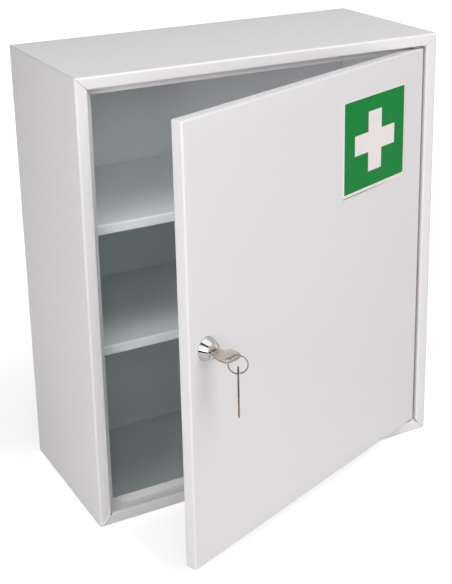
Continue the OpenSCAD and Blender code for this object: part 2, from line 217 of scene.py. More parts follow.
# %% Colour and height from a number
def add_blend(tree, value, below, above):
    """Blend of two colours, each given as three numbers or as another node's output"""
    node = tree.nodes.new("ShaderNodeMix")
    node.data_type = "RGBA"
    tree.links.new(value, node.inputs["Factor"])
    for key, colour in (("A", below), ("B", above)):
        if isinstance(colour, bpy.types.NodeSocket):
            tree.links.new(colour, node.inputs[key])
        else:
            node.inputs[key].default_value = (*colour, 1)
    return node.outputs["Result"]


def add_bump(tree, shader, height, strength, depth):
    """A surface that seems to rise and fall by up to depth mm, times strength"""
    bump = tree.nodes.new("ShaderNodeBump")
    bump.inputs["Strength"].default_value = strength
    bump.inputs["Distance"].default_value = depth * MM
    tree.links.new(height, bump.inputs["Height"])
    tree.links.new(bump.outputs["Normal"], shader.inputs["Normal"])


# %% [markdown]
# Powder coat isn't quite flat. It dries with a faint orange peel, a few hundredths of a
# millimetre deep and 1 to 3 mm across, and with a fine speckle in tone and gloss. The
# inside of the case is painted in two tones that stand in for its light. The darker,
# greener one low down is painted shade, and the lighter, bluer one high up is painted
# light. The two blend into each other. Two materials could do that, face by face. A
# box in Object coordinates is simpler: what lies in it is the inside, for the walls, the
# back panel and the shelves alike.

# %% Tell the inside from the outside
def add_inside(tree, place, low, high):
    """1 inside a box and 0 outside: the largest of the three distances from the box's
    middle, each divided by half of the box's size that way, is less than 1"""
    low, high = np.array(low) * MM, np.array(high) * MM
    mapping = tree.nodes.new("ShaderNodeMapping")
    mapping.inputs["Location"].default_value = -(low + high) / (high - low)
    mapping.inputs["Scale"].default_value = 2 / (high - low)
    away = tree.nodes.new("ShaderNodeVectorMath")
    away.operation = "ABSOLUTE"
    split = tree.nodes.new("ShaderNodeSeparateXYZ")
    tree.links.new(place, mapping.inputs["Vector"])
    tree.links.new(mapping.outputs["Vector"], away.inputs[0])
    tree.links.new(away.outputs["Vector"], split.inputs[0])
    value = split.outputs["X"]
    for operation, other in (("MAXIMUM", split.outputs["Y"]), ("MAXIMUM", split.outputs["Z"]),
                             ("LESS_THAN", None)):
        node = tree.nodes.new("ShaderNodeMath")
        node.operation = operation
        node.inputs[1].default_value = 1
        tree.links.new(value, node.inputs[0])
        if other:
            tree.links.new(other, node.inputs[1])
        value = node.outputs[0]
    return value


# %% [markdown]
# The speckle is the finest grain. Colour and gloss could each have a noise of their
# own, but here they share one, so that a darker spot is a duller one too. The orange
# peel lies over both as a coarser bump.

# %% Powder coat
PAINT = (0.785, 0.785, 0.785)
# Painted shade and light inside the case: a darker, greener tone low down, a lighter, bluer one
# high up, and the heights between which they blend
INSIDE_SHADE_TONES = (0.758, 0.828, 0.820), (0.872, 0.896, 0.912)
INSIDE_SHADE_RISE = 250.0, 340.0
INSIDE = (-199.5, -74.0, 0.5), (199.5, 88.5, 459.5)
SPECKLE_SCALE, SPECKLE, SPECKLE_RANGE = 900, 0.985, (0.2, 0.8)
GLOSS_SPREAD = 0.03
PEEL_SCALE, PEEL, PEEL_DEPTH = 420, 0.05, 0.2


def powder_coat(name, colour, gloss, inside_shade=None):
    """White paint: a fine speckle of a darker and duller tone, over orange peel. Where a
    pair of inside tones is given, the inside of the case takes those two colours instead:
    painted shade low down and painted light high up. The paint goes from one to the other
    between two given heights."""
    material, tree, shader, place = start_material(name)
    grain = add_noise(tree, place, SPECKLE_SCALE, 3)
    speckle = add_range(tree, grain, 0, 1, *SPECKLE_RANGE)
    paint = add_blend(tree, speckle, colour, [SPECKLE * c for c in colour])
    # The inside of the case: painted shade low down, painted light high up
    if inside_shade:
        low, high = (add_blend(tree, speckle, tone, [SPECKLE * c for c in tone])
                     for tone in inside_shade)
        split = tree.nodes.new("ShaderNodeSeparateXYZ")
        tree.links.new(place, split.inputs[0])
        rise = add_range(tree, split.outputs["Z"], 0, 1, *(z * MM for z in INSIDE_SHADE_RISE))
        paint = add_blend(tree, add_inside(tree, place, *INSIDE), paint,
                          add_blend(tree, rise, low, high))
    tree.links.new(paint, shader.inputs["Base Color"])
    dull = add_range(tree, grain, gloss, gloss + GLOSS_SPREAD, *SPECKLE_RANGE)
    tree.links.new(dull, shader.inputs["Roughness"])
    add_bump(tree, shader, add_noise(tree, place, PEEL_SCALE, 1), PEEL, PEEL_DEPTH)
    print(name, "has", len(tree.nodes), "nodes")
    return material


# The case and the shelves both carry the painted shade and light inside the case
case_paint = powder_coat("case paint", PAINT, 0.26, INSIDE_SHADE_TONES)
door_paint = powder_coat("door paint", PAINT, 0.24)
shelf_paint = powder_coat("shelf paint", PAINT, 0.28, INSIDE_SHADE_TONES)

# %% [markdown]
# Bare metal takes its look from what it mirrors, so its colour matters less than its
# roughness. Patches of a darker tone and an uneven polish keep it from looking like a
# perfect mirror: few on the chrome collar, more on the plug, the ring and the zinc.

# %% Metals
PATCH_SCALE, MARK_DEPTH = 160, 0.05


def metal(name, colour, dark, rough, spread, scale, marks=0.05):
    """Bare metal: patches of a darker tone, a roughness from rough to rough + spread,
    and fine marks of the same grain"""
    material, tree, shader, place = start_material(name)
    shader.inputs["Metallic"].default_value = 1
    patches = add_range(tree, add_noise(tree, place, PATCH_SCALE, 5), 0, 1)
    tree.links.new(add_blend(tree, patches, colour, dark), shader.inputs["Base Color"])
    grain = add_noise(tree, place, scale, 3)
    tree.links.new(add_range(tree, grain, rough, rough + spread), shader.inputs["Roughness"])
    add_bump(tree, shader, grain, marks, MARK_DEPTH)
    print(name, "has", len(tree.nodes), "nodes")
    return material


chrome = metal("chrome plate", (0.60, 0.605, 0.63), (0.57, 0.575, 0.60), 0.04, 0.03, 900,
               marks=0.02)
plug_metal = metal("plug nickel", (0.75, 0.74, 0.72), (0.68, 0.67, 0.64), 0.08, 0.05, 1500,
                   marks=0.02)
ring_steel = metal("ring steel", (0.36, 0.32, 0.30), (0.26, 0.23, 0.21), 0.24, 0.12, 3000)
zinc_plate = metal("zinc plate", (0.60, 0.62, 0.64), (0.50, 0.52, 0.55), 0.34, 0.16, 1200)
brass = metal("stamped brass", (0.72, 0.50, 0.22), (0.60, 0.40, 0.16), 0.28, 0.14, 2000)

# %% [markdown]
# A key's narrow edges and the wall of its eye are painted dark, as painted shade, and
# the cuts show the brass under the nickel. That depends on the key's shape, which noise
# knows nothing of, so two numbers at each point of the key's mesh carry it to the shader.

# %% Metal of the keys
# Painted shade for the key's edges, and the bare brass of its cuts
EDGE_SHADE, BARE_CUT = (0.150, 0.115, 0.105), (0.30, 0.22, 0.09)


def key_metal():
    """Nickel on the key's faces. The attributes edge and cut, both from 0 to 1, tell where
    the edges are painted dark, as shade, and where a cutter has laid the brass bare."""
    material = metal("key nickel", (0.68, 0.62, 0.54), (0.58, 0.52, 0.44), 0.24, 0.14, 2500)
    tree = material.node_tree
    shader = tree.nodes["Principled BSDF"]
    tone = shader.inputs["Base Color"].links[0].from_socket
    for name, colour in (("edge", EDGE_SHADE), ("cut", BARE_CUT)):
        worn = tree.nodes.new("ShaderNodeAttribute")
        worn.attribute_name = name
        tone = add_blend(tree, worn.outputs["Fac"], tone, colour)
    tree.links.new(tone, shader.inputs["Base Color"])
    return material


key_nickel = key_metal()

# %% [markdown]
# The sign is two layers of film, white under green, and the bushes are nylon. All are
# plastics: little shine, a faint second tone and a fine grain. One function makes the
# three, because only their numbers differ.

# %% Films and nylon
FILM_GRAIN, CLOUD_SCALE = 1800, 40
PLASTIC_SHINE, PLASTIC_SPREAD = 0.15, 0.08


def plastic(name, colour, shade, rough, grain_scale, grain):
    """Printed film or moulded plastic: a faint second tone and a fine grain"""
    material, tree, shader, place = start_material(name)
    clouds = add_range(tree, add_noise(tree, place, CLOUD_SCALE, 4), 0, 1)
    tree.links.new(add_blend(tree, clouds, colour, shade), shader.inputs["Base Color"])
    fine = add_noise(tree, place, grain_scale, 2)
    dull = add_range(tree, fine, rough, rough + PLASTIC_SPREAD)
    tree.links.new(dull, shader.inputs["Roughness"])
    add_bump(tree, shader, fine, grain, MARK_DEPTH)
    shader.inputs["Specular IOR Level"].default_value = PLASTIC_SHINE
    print(name, "has", len(tree.nodes), "nodes")
    return material


white_film = plastic("white film", (0.90, 0.83, 0.83), (0.87, 0.80, 0.80), 0.30, FILM_GRAIN,
                     0.05)
green_film = plastic("green film", (0.002, 0.240, 0.042), (0.001, 0.225, 0.038), 0.32,
                     FILM_GRAIN, 0.05)
nylon = plastic("nylon", (0.30, 0.28, 0.24), (0.26, 0.24, 0.20), 0.42, 900, 0.10)

# %% [markdown]
# A thin dark line is painted along the foot of the white film, where it stands out from
# under the green one, and a fainter one up its right side. It is a painted shadow of the
# film's raised edge. It could be a thin dark strip of its own, but a strip has an
# outline, and a shadow fades. So the film's own material draws it, by height and by
# distance from the film's ends.

# %% Painted shadow along the film's edge
# Painted shadow along the film's foot and right side: its colour, height, blur and fade
FILM_EDGE_SHADOW = (0.030, 0.045, 0.042)
SHADOW_HEIGHT, SHADOW_BLUR, SHADOW_FADE = 0.7, 0.1, (30, 85)
SIDE_WIDTH, SIDE_SHARE = 0.5, 0.35


def shade_film_edge(material, film):
    """Painted shadow in a line SHADOW_HEIGHT mm high along the film's foot, which fades
    out over SHADOW_FADE mm from its left end, and a fainter line SIDE_WIDTH mm wide up
    its right side. At each point the larger of the two counts."""
    tree = material.node_tree
    shader = tree.nodes["Principled BSDF"]
    points = np.array([v.co for v in film.data.vertices]) / MM
    (left, _, bottom), right = points.min(axis=0), points[:, 0].max()
    place, split = (tree.nodes.new("ShaderNode" + kind) for kind in ("TexCoord", "SeparateXYZ"))
    tree.links.new(place.outputs["Object"], split.inputs[0])

    def step(axis, low, high, start, end):
        """low up to start mm along an axis, high from end mm on, and even between"""
        return add_range(tree, split.outputs[axis], low, high, start * MM, end * MM)

    low_edge, right_edge = bottom + SHADOW_HEIGHT, right - SIDE_WIDTH
    below = step("Z", 1, 0, low_edge, low_edge + SHADOW_BLUR)
    fade = step("X", 1, 0, left + SHADOW_FADE[0], left + SHADOW_FADE[1])
    side = step("X", 0, SIDE_SHARE, right_edge - SHADOW_BLUR, right_edge)
    line, both = (tree.nodes.new("ShaderNodeMath") for _ in range(2))
    line.operation, both.operation = "MULTIPLY", "MAXIMUM"
    for value, socket in ((below, line.inputs[0]), (fade, line.inputs[1]),
                          (line.outputs[0], both.inputs[0]), (side, both.inputs[1])):
        tree.links.new(value, socket)
    # The film's foot and right side are darkened towards the shadow colour: painted shadow
    unshaded = shader.inputs["Base Color"].links[0].from_socket
    shaded = add_blend(tree, both.outputs[0], unshaded, FILM_EDGE_SHADOW)
    tree.links.new(shaded, shader.inputs["Base Color"])
    print("painted shadow on a film from x", round(left, 1), "to", round(right, 1), "mm")


shade_film_edge(white_film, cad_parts["sign_backing"])

# %% [markdown]
# ## Bent sheet steel
#
# A folded wall has one section all along: straight runs, joined by arcs where the
# press brake bent the sheet. A Solidify modifier could add the thickness, but the ends
# have to be cut at 45 degrees on both faces, so both faces are worked out at once.
# Inside a bend the face turns on the bend's own radius, and outside it on that radius
# plus the thickness of the sheet.

# %% Section of a folded sheet
SHEET = 1.0
BEND_STEPS = 9


def folded_sheet(corners, bends):
    """Both faces of a sheet bent at right angles, as two lines of equally many points.
    The sheet lies on the left of the line through corners. On an arc, a point is
    centre + radius * (sin a * way in + cos a * way out of the bend)."""
    corners = np.array(corners, float)
    way = np.diff(corners, axis=0)
    way /= np.linalg.norm(way, axis=1)[:, None]
    left = np.stack([-way[:, 1], way[:, 0]], axis=1)
    near, far = [corners[:1]], [corners[:1] + left[0] * SHEET]
    a = np.linspace(0, math.pi / 2, BEND_STEPS)[:, None]
    for i, bend in enumerate(bends):
        side = np.sign(way[i][0] * way[i + 1][1] - way[i][1] * way[i + 1][0])
        r_near = bend + (SHEET if side > 0 else 0)
        r_far = bend + (0 if side > 0 else SHEET)
        centre = corners[i + 1] - way[i] * r_near + left[i] * side * r_near
        spoke = -side * left[i] * np.cos(a) + way[i] * np.sin(a)
        near.append(centre + r_near * spoke)
        far.append(centre + r_far * spoke)
    near.append(corners[-1:])
    far.append(corners[-1:] + left[-1] * SHEET)
    return np.concatenate(near), np.concatenate(far)


# %% [markdown]
# The section is carried straight along the wall. Each point of it may start and end at
# a length of its own, which is all that a mitred end needs: a Boolean cut isn't called
# for, and the grid stays a grid.

# %% Carry a section along
def strip_caps(half, row, cols):
    """Faces that close the end of a sheet: each joins two neighbours on one face of
    the sheet to the two across from them"""
    i = np.arange(half - 1)
    return (row * cols + np.stack([i, i + 1, cols - 2 - i, cols - 1 - i], -1)).tolist()


def bar_of(loop, low, high):
    """A closed section carried from low to high along the third direction, with ends
    closed across the sheet. low and high are one number for each point of the loop."""
    rows = np.stack([np.column_stack([loop, low]), np.column_stack([loop, high])])
    points, faces = sheet_of(rows, close_cols=True)
    half, cols = len(loop) // 2, len(loop)
    return points, faces + strip_caps(half, 0, cols) + strip_caps(half, 1, cols)


# %% [markdown]
# ## The case
#
# Each wall carries its own strip of the front frame, its own door stop and its own
# rear flange. The ends are mitred at 45 degrees, so a point that lies further in also
# ends further from the corner. A hair of a gap is left at each mitre, which is the
# dark seam along the cabinet's edges. Where the frame folds back, the sheet is cut with
# a small notch, as relief for the bend. It is deepest in the bottom wall, where it
# shows as a black nick in the frame's inner corner. The four walls are one function
# with four placings, so their mitres meet by construction.

# %% Section of a mitred wall
CASE_W, CASE_H, CASE_D = 400.0, 460.0, 180.0
FRAME_FACE, FRAME_RETURN, STOP_LIP, REAR_LIP = 12.5, 14.5, 7.5, 15.0
MITRE_GAP = 0.3
FRAME_BENDS = [1.2, 1.2, 1.2, 0.8]
NOTCH_REACH, NOTCH_RIM = 2.6, 0.2
FRONT_Y = -CASE_D / 2


def mitred_wall(length, notch):
    """Section X inwards, Y to the back. Each end is cut where Z equals X plus half of
    the gap, counted from that end, and a notch deeper round the frame's inner bend.
    Points are added on the section at the notch's edge, just inside and outside it."""
    corners = [(REAR_LIP, CASE_D), (0, CASE_D), (0, 0), (FRAME_FACE, 0),
               (FRAME_FACE, FRAME_RETURN), (FRAME_FACE + STOP_LIP, FRAME_RETURN)]
    near, far = folded_sheet(corners, FRAME_BENDS)
    bend_start, bend_end = 1 + 2 * BEND_STEPS, 3 * BEND_STEPS
    faces = []
    for line in (near, far):
        rim = np.array([NOTCH_REACH, NOTCH_REACH + NOTCH_RIM])[:, None]
        before = line[bend_start] * [0, 1] + (FRAME_FACE - rim[::-1]) * [1, 0]
        after = line[bend_end] * [1, 0] + rim * [0, 1]
        faces.append(np.concatenate([line[:bend_start], before, line[bend_start:bend_end + 1],
                                     after, line[bend_end + 1:]]))
    loop = np.concatenate([faces[0], faces[1][::-1]])
    reach = np.maximum(FRAME_FACE - loop[:, 0], loop[:, 1])
    notched = (reach <= NOTCH_REACH + 0.01) & (loop[:, 0] > FRAME_FACE / 2)
    cut = loop[:, 0] + MITRE_GAP / 2 + notch * notched
    return bar_of(loop, cut, length - cut)


# %% [markdown]
# The same section stands upright at the left and, mirrored, at the right. Lying down
# it is the bottom, and mirrored once more the top.

# %% The four walls
def on_left(p):
    """X to the right, Y to the back, Z up: the section is already the right way round"""
    return np.stack([p[:, 0] - CASE_W / 2, p[:, 1] + FRONT_Y, p[:, 2]], axis=1)


def on_right(p):
    """The left wall, mirrored"""
    return on_left(p) * [-1, 1, 1]


def on_bottom(p):
    """Inwards is up, and the wall runs from right to left"""
    return np.stack([CASE_W / 2 - p[:, 2], p[:, 1] + FRONT_Y, p[:, 0]], axis=1)


def on_top(p):
    """The bottom wall, mirrored"""
    return on_bottom(p) * [1, 1, -1] + [0, 0, CASE_H]


WALLS = [("left_side", on_left, CASE_H, 0), ("right_side", on_right, CASE_H, 0),
         ("bottom_panel", on_bottom, CASE_W, 1.5), ("top_panel", on_top, CASE_W, 0.4)]
for wall, place, length, notch in WALLS:
    make_piece(wall + "_steel", [mitred_wall(length, notch)], place, "cabinet", case_paint,
               [wall], soften=0.25)

# %% [markdown]
# A bead of filler closes the lower left seam, under the paint. It runs along the mitre
# and thins out at both ends. A bevelled curve could be the bead, but a curve is round,
# and this is half an ellipse that lies flat on the frame.

# %% Filler bead
def filler_bead(start, end, width=1.8, proud=0.75, rows=24, columns=13):
    """Half an ellipse carried along a line: at t, from 0 to 1, a point is
    line(t) + s(t) * (width / 2 * cos b * across + proud * sin b * out), where s(t) is
    the fourth root of sin(pi t)."""
    t = np.linspace(0, 1, rows)[:, None, None]
    b = np.linspace(-0.25, math.pi + 0.25, columns)[None, :, None]
    start, end = np.array(start, float), np.array(end, float)
    along = (end - start) / np.linalg.norm(end - start)
    out = np.array([0, -1, 0])
    swell = np.maximum(np.sin(math.pi * t), 0) ** 0.25
    return start + t * (end - start) + swell * (width / 2 * np.cos(b) * np.cross(along, out)
                                                + proud * np.sin(b) * out)


BEAD_FROM, BEAD_TO = 0.8, 11.4
bead = filler_bead((-CASE_W / 2 + BEAD_FROM, FRONT_Y, BEAD_FROM),
                   (-CASE_W / 2 + BEAD_TO, FRONT_Y, BEAD_TO))
make_piece("corner_filler", [sheet_of(bead, close_cols=True)], in_case, "cabinet", case_paint,
           [])

# %% [markdown]
# The back panel, the pegs, the pins and bushes, the films and the small parts of the
# lock keep the shapes of the model. Their meshes are right as they are, so they only
# get a finish.

# %% Finish the carried-over nodes
def refinish(node, material):
    """Give a node of the model this material instead of its own"""
    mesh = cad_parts[node].data
    mesh.materials.clear()
    mesh.materials.append(material)


for node, material in {
    "back_panel": case_paint, "shelf_pegs": zinc_plate,
    "upper_hinge_pin": zinc_plate, "lower_hinge_pin": zinc_plate,
    "upper_door_bush": nylon, "lower_door_bush": nylon,
    "sign_backing": white_film, "sign_field": green_film,
    "lock_nut": zinc_plate, "lock_wafers": brass, "lock_cam": zinc_plate,
    "cam_washer": zinc_plate, "cam_screw": zinc_plate,
}.items():
    refinish(node, material)
    print(node, "->", material.name)

# %% [markdown]
# Each hole for a wall screw is closed from the inside with a thin painted cap, which
# is taken out when the cabinet is hung. The holes stay open in the model, where the
# screws go. A cap is turned about its own axis: a low dome with a rounded rim, and a
# stub that fills the hole. The Screw modifier would turn it too; a profile times cos
# and sin does the same and serves the lock as well.

# %% Caps in the wall holes
WALL_HOLE_X, WALL_HOLE_Z = 220.0, 210.0
CAP_LINE = [(0, -0.35), (2.6, -0.3), (3.9, -0.18), (4.2, 0), (3.42, 0), (3.4, 0.9), (0, 0.9)]
CAP_STEPS, TURN_STEPS = 32, 96


def turned(profile, steps=TURN_STEPS):
    """A profile of (radius, height) turned about the third axis: (r cos a, r sin a, h)"""
    a = np.linspace(0, 2 * math.pi, steps, endpoint=False)[:, None]
    r, h = np.array(profile, float).T[:, None, :]
    return sheet_of(np.stack([r * np.cos(a), r * np.sin(a), h + 0 * a], axis=-1), close_rows=True,
                    close_cols=True)


def cap_at(x, z):
    """The turned cap with its axis along Y, on the back panel's front face"""
    points, faces = turned(CAP_LINE, CAP_STEPS)
    back = CASE_D / 2 - 2 * SHEET
    return np.stack([points[:, 0] + x, points[:, 2] + back, points[:, 1] + z], axis=1), faces


make_piece("wall_hole_caps", [cap_at(x * WALL_HOLE_X / 2, CASE_H / 2 + z * WALL_HOLE_Z / 2)
                              for x in (-1, 1) for z in (-1, 1)],
           in_case, "cabinet", case_paint, [])

# %% [markdown]
# ## Shelves
#
# A shelf is a shallow tray turned over: its front edge is folded down and hemmed back,
# and its rear edge and its sides are folded down behind it. The top climbs a little
# from front to rear, and its rear bend leaves a dark groove in front of the back panel.
# It is folded from sheet as the walls are, so the same function makes its section, and
# each point is then lifted in step with how far back it lies.

# %% Tray shelves
SHELF_FRONT = FRONT_Y + FRAME_RETURN + 2
SHELF_BACK = CASE_D / 2 - 2 * SHEET - 1
SHELF_HALF = CASE_W / 2 - SHEET - 1.3
SHELF_EDGE, SHELF_REAR, SHELF_HEM = 10.0, 5.5, 8.0
SHELF_BENDS = [1.8, 0.8, 0.6]
FLANGE_INSET = 3.0
SHELVES = [("lower_shelf", 187.0, 5.0), ("upper_shelf", 312.0, 7.5)]


def tray_shelf(top, rise):
    """Section Y to the back, Z up, carried across the case, and two side flanges. The
    top climbs evenly to the rear: z + rise * (y - front) / (back - front)"""
    corners = [(SHELF_BACK, -SHELF_REAR), (SHELF_BACK, 0), (SHELF_FRONT, 0),
               (SHELF_FRONT, -SHELF_EDGE), (SHELF_FRONT + SHELF_HEM, -SHELF_EDGE)]
    near, far = folded_sheet(corners, SHELF_BENDS)
    loop = np.concatenate([near, far[::-1]])
    loop[:, 1] += rise * (loop[:, 0] - SHELF_FRONT) / (SHELF_BACK - SHELF_FRONT)
    side = np.full(len(loop), SHELF_HALF)
    parts = [bar_of(loop, -side, side)]
    front, back = SHELF_FRONT + FLANGE_INSET, SHELF_BACK - FLANGE_INSET
    edge = np.array([[front, -SHELF_EDGE], [back, -SHELF_EDGE], [back, rise - SHEET],
                     [front, -SHEET / 2]])
    for x in (-SHELF_HALF, SHELF_HALF - SHEET):
        rows = np.stack([np.column_stack([edge, np.full(4, x)]),
                         np.column_stack([edge, np.full(4, x + SHEET)])])
        parts.append(sheet_of(rows, close_cols=True, caps=(0, -1)))
    return [(p[:, [2, 0, 1]] + [0, 0, top], f) for p, f in parts]


for node, top, rise in SHELVES:
    make_piece(node + "_tray", tray_shelf(top, rise), in_case, node, shelf_paint,
               [node], soften=0.2)

# %% [markdown]
# ## The door
#
# The door is a shallow pan: a face, four returns and a narrow hem folded in behind. A
# box with its back taken off and a Solidify modifier would come close, but it has no
# hem. So the section is carried round the door's outline like a picture frame, and the
# middle of the face closes it. The outline's corners are rounded by the radius that is
# left at that distance from the edge, and not at all where the section lies further in.

# %% Door pan
DOOR_OPEN = math.radians(21.3)
GAP_LOCK, GAP_HINGE, GAP_TOP, GAP_BOTTOM = 2.0, 4.2, 2.5, 2.0
DOOR_L = -CASE_W / 2 + FRAME_FACE + GAP_LOCK
DOOR_R = CASE_W / 2 - FRAME_FACE - GAP_HINGE
DOOR_B, DOOR_T = FRAME_FACE + GAP_BOTTOM, CASE_H - FRAME_FACE - GAP_TOP
DOOR_DEPTH, DOOR_HEM, DOOR_RIM = 13.0, 6.5, 14.0
DOOR_BENDS = [1.0, 1.0]
DOOR_CORNER, CORNER_STEPS = 1.2, 5
HINGE_X, HINGE_Y = DOOR_R - 5.0, FRONT_Y + 5.5


def on_door(p):
    """Points of the closed door, turned about the hinge pins as it stands open"""
    x, y = p[:, 0] - HINGE_X, p[:, 1] - HINGE_Y
    c, s = math.cos(DOOR_OPEN), math.sin(DOOR_OPEN)
    return np.stack([HINGE_X + c * x - s * y, HINGE_Y + s * x + c * y, p[:, 2]], axis=1)


def round_the_door(section):
    """Rows of points, one for each point (inset, depth) of the section. A corner's
    point is centre + (corner radius - inset) * (cos a, sin a); where the inset is more
    than the radius, the centre moves in with it and the arc shrinks to a point."""
    inset, depth = section[:, :1], section[:, 1:]
    radius = np.maximum(DOOR_CORNER - inset, 0)
    centre = np.maximum(DOOR_CORNER, inset)
    rows = []
    for quarter, (x, z) in enumerate(((1, 1), (0, 1), (0, 0), (1, 0))):
        a = (quarter + np.linspace(0, 1, CORNER_STEPS)[None, :]) * math.pi / 2
        cx = DOOR_R - centre if x else DOOR_L + centre
        cz = DOOR_T - centre if z else DOOR_B + centre
        rows.append(np.stack([cx + radius * np.cos(a), FRONT_Y + depth + 0 * a,
                              cz + radius * np.sin(a)], axis=-1))
    return np.concatenate(rows, axis=1)


def door_pan():
    """Section from the hem's edge, round the return, to a rim of the face"""
    corners = [(DOOR_HEM + SHEET, DOOR_DEPTH), (0, DOOR_DEPTH), (0, 0), (DOOR_RIM, 0)]
    near, far = folded_sheet(corners, DOOR_BENDS)
    section = np.concatenate([near[::-1], far])
    return [sheet_of(round_the_door(section), close_cols=True, caps=(0, -1))]


make_piece("door_pan", door_pan(), on_door, "door", door_paint, ["door_panel"],
           soften=0.15)

# %% [markdown]
# ## The lock
#
# Round pieces are a profile of (radius, height) turned about the lock's axis. The trim
# collar is a cone that widens towards the door, and the lock's rim and plug sit in its
# mouth. Chrome shows its edges most of all, so each one is rounded. A Bevel modifier
# would do that on the turned mesh, but a profile has only a few corners, and rounding
# those first is exact and light.

# %% Round the corners of an outline
LOCK_X, LOCK_Z = DOOR_L + 22.0, 233.0
LOCK_FACE, HEAD_T = 9.3, 0.8
EASE = 0.2


def on_lock(p):
    """Z runs out of the door along the lock's axis, Y is up"""
    return on_door(np.stack([LOCK_X + p[:, 0], FRONT_Y - p[:, 2], LOCK_Z + p[:, 1]], axis=1))


def eased(corners, radius, steps=5):
    """A closed line of corners, each replaced by a curve between the points that lie
    radius before and after it: (1-t)^2 before + 2t(1-t) corner + t^2 after. Where a
    side is short, the points lie at most 0.45 of it away."""
    corners = np.array(corners, float)
    before, after = (np.roll(corners, shift, axis=0) - corners for shift in (1, -1))
    length_before, length_after = (np.linalg.norm(side, axis=1) for side in (before, after))
    reach = np.minimum(radius, 0.45 * np.minimum(length_before, length_after))
    start = corners + before * (reach / length_before)[:, None]
    end = corners + after * (reach / length_after)[:, None]
    t = np.linspace(0, 1, steps)[None, :, None]
    curve = (1 - t) ** 2 * start[:, None] + 2 * t * (1 - t) * corners[:, None] + \
        t ** 2 * end[:, None]
    return curve.reshape(-1, 2)


# %% [markdown]
# The collar is loose on the barrel, so the two are turned from outlines of their own.
# The barrel's outline has the bore for the plug, with the seat for the plug's head.

# %% Collar and barrel
COLLAR_R, COLLAR_FOOT, COLLAR_SLOPE, COLLAR_BORE = 11.5, 0.8, 3.1, 8.05
MOUTH_R, MOUTH_H = COLLAR_R - COLLAR_SLOPE, LOCK_FACE - HEAD_T
PLUG_BACK = -FRAME_RETURN - 1.5
PLUG_R, PLUG_HEAD_R, PLUG_GAP = 6.5, 6.8, 0.05
PLUG_SEAT = LOCK_FACE - 1.35
RIM_R, BARREL_R = 7.98, 7.5
collar_line = eased([(COLLAR_BORE, 0), (COLLAR_R, 0), (COLLAR_R, COLLAR_FOOT),
                     (MOUTH_R, MOUTH_H), (COLLAR_BORE, MOUTH_H)], EASE)
barrel_line = eased([(PLUG_HEAD_R + PLUG_GAP, PLUG_SEAT), (PLUG_HEAD_R + PLUG_GAP, LOCK_FACE),
                     (MOUTH_R - 0.3, LOCK_FACE), (MOUTH_R, MOUTH_H), (RIM_R, MOUTH_H),
                     (BARREL_R, PLUG_BACK), (PLUG_R + PLUG_GAP, PLUG_BACK),
                     (PLUG_R + PLUG_GAP, PLUG_SEAT)], EASE)
make_piece("lock_trim_collar", [turned(collar_line)], on_lock, "door", chrome,
           ["lock_collar"])
make_piece("lock_barrel", [turned(barrel_line)], on_lock, "door", chrome,
           ["lock_housing"])

# %% [markdown]
# The plug is turned too, but its face has the keyway in it. A Boolean could cut the
# keyway, and would leave a ragged mesh round it. So the face is a ring between the
# keyway's outline and the plug's edge, both split into the same number of points by
# angle, and four more for the keyway's corners.

# %% Plug with its keyway
KEY_T, BLADE_W = 1.8, 7.4
SLOT_W, SLOT_H = 8.0, KEY_T + 0.6
KEYWAY_DEPTH = 12.0
PLUG_SUNK, HEAD_DEPTH = 0.3, 1.0
TAIL_HALF, TAIL_IN, TAIL_OUT = 4.0, 0.5, 2.35


def box_at(angle, half_w, half_h):
    """Points on a rectangle's outline in the given directions from its middle"""
    c, s = np.cos(angle), np.sin(angle)
    reach = 1 / np.maximum(np.abs(c) / half_w, np.abs(s) / half_h)
    return np.stack([reach * c, reach * s], axis=-1)


def plug_body():
    """Rows of points at rising radius: the keyway's floor and mouth, the face, its
    rounded edge, the head and the body. A square tail behind it carries the cam."""
    full = 2 * math.pi
    corner = math.atan2(SLOT_H, SLOT_W)
    corners = np.array([corner, math.pi - corner, math.pi + corner, -corner]) % full
    a = np.sort(np.concatenate([np.linspace(0, full, TURN_STEPS, endpoint=False), corners]))
    slot = box_at(a, SLOT_W / 2, SLOT_H / 2)
    circle = np.stack([np.cos(a), np.sin(a)], axis=-1)
    face, neck = LOCK_FACE - PLUG_SUNK, LOCK_FACE - HEAD_DEPTH
    rows = [(slot, 1, face - KEYWAY_DEPTH), (slot, 1, face - 0.25), (slot, 1.05, face),
            (circle, PLUG_HEAD_R - 0.2, face), (circle, PLUG_HEAD_R - 0.06, face - 0.06),
            (circle, PLUG_HEAD_R, face - 0.2), (circle, PLUG_HEAD_R, neck),
            (circle, PLUG_R, neck), (circle, PLUG_R, PLUG_BACK - 0.35)]
    grid = np.stack([np.column_stack([line * size, np.full(len(a), h)]) for line, size, h in rows])
    tail = TAIL_HALF * np.array([[-1, -1], [1, -1], [1, 1], [-1, 1]])
    square = np.stack([np.column_stack([tail, np.full(4, PLUG_BACK + h)])
                       for h in (-TAIL_OUT, TAIL_IN)])
    return [sheet_of(part, close_cols=True, caps=(0, -1)) for part in (grid, square)]


make_piece("lock_plug_face", plug_body(), on_lock, "lock_plug", plug_metal,
           ["lock_plug"])

# %% [markdown]
# ## Keys
#
# A key is stamped from flat stock: a bow with an eye in it, and a blade with cuts for
# the wafers. The bow could be cut out with Booleans. Here it is a plate between two
# outlines, the key's edge and the eye, so its mesh is even and its edges can be rounded
# by formula. Both outlines are written down as a few corners and arcs, and measured
# along rays from the middle of the eye.

# %% Key outlines
BLADE_DEPTH, KEY_LEN = 10.5, 46.1
BOW_END = KEY_LEN - BLADE_DEPTH
EYE_LOW, EYE_HIGH, EYE_LEFT, EYE_RIGHT = BOW_END - 7, BOW_END - 2.9, -8.3, 7.3
BOW_EASE = 1.6
EYE_MID = np.array([(EYE_LEFT + EYE_RIGHT) / 2, (EYE_LOW + EYE_HIGH) / 2])


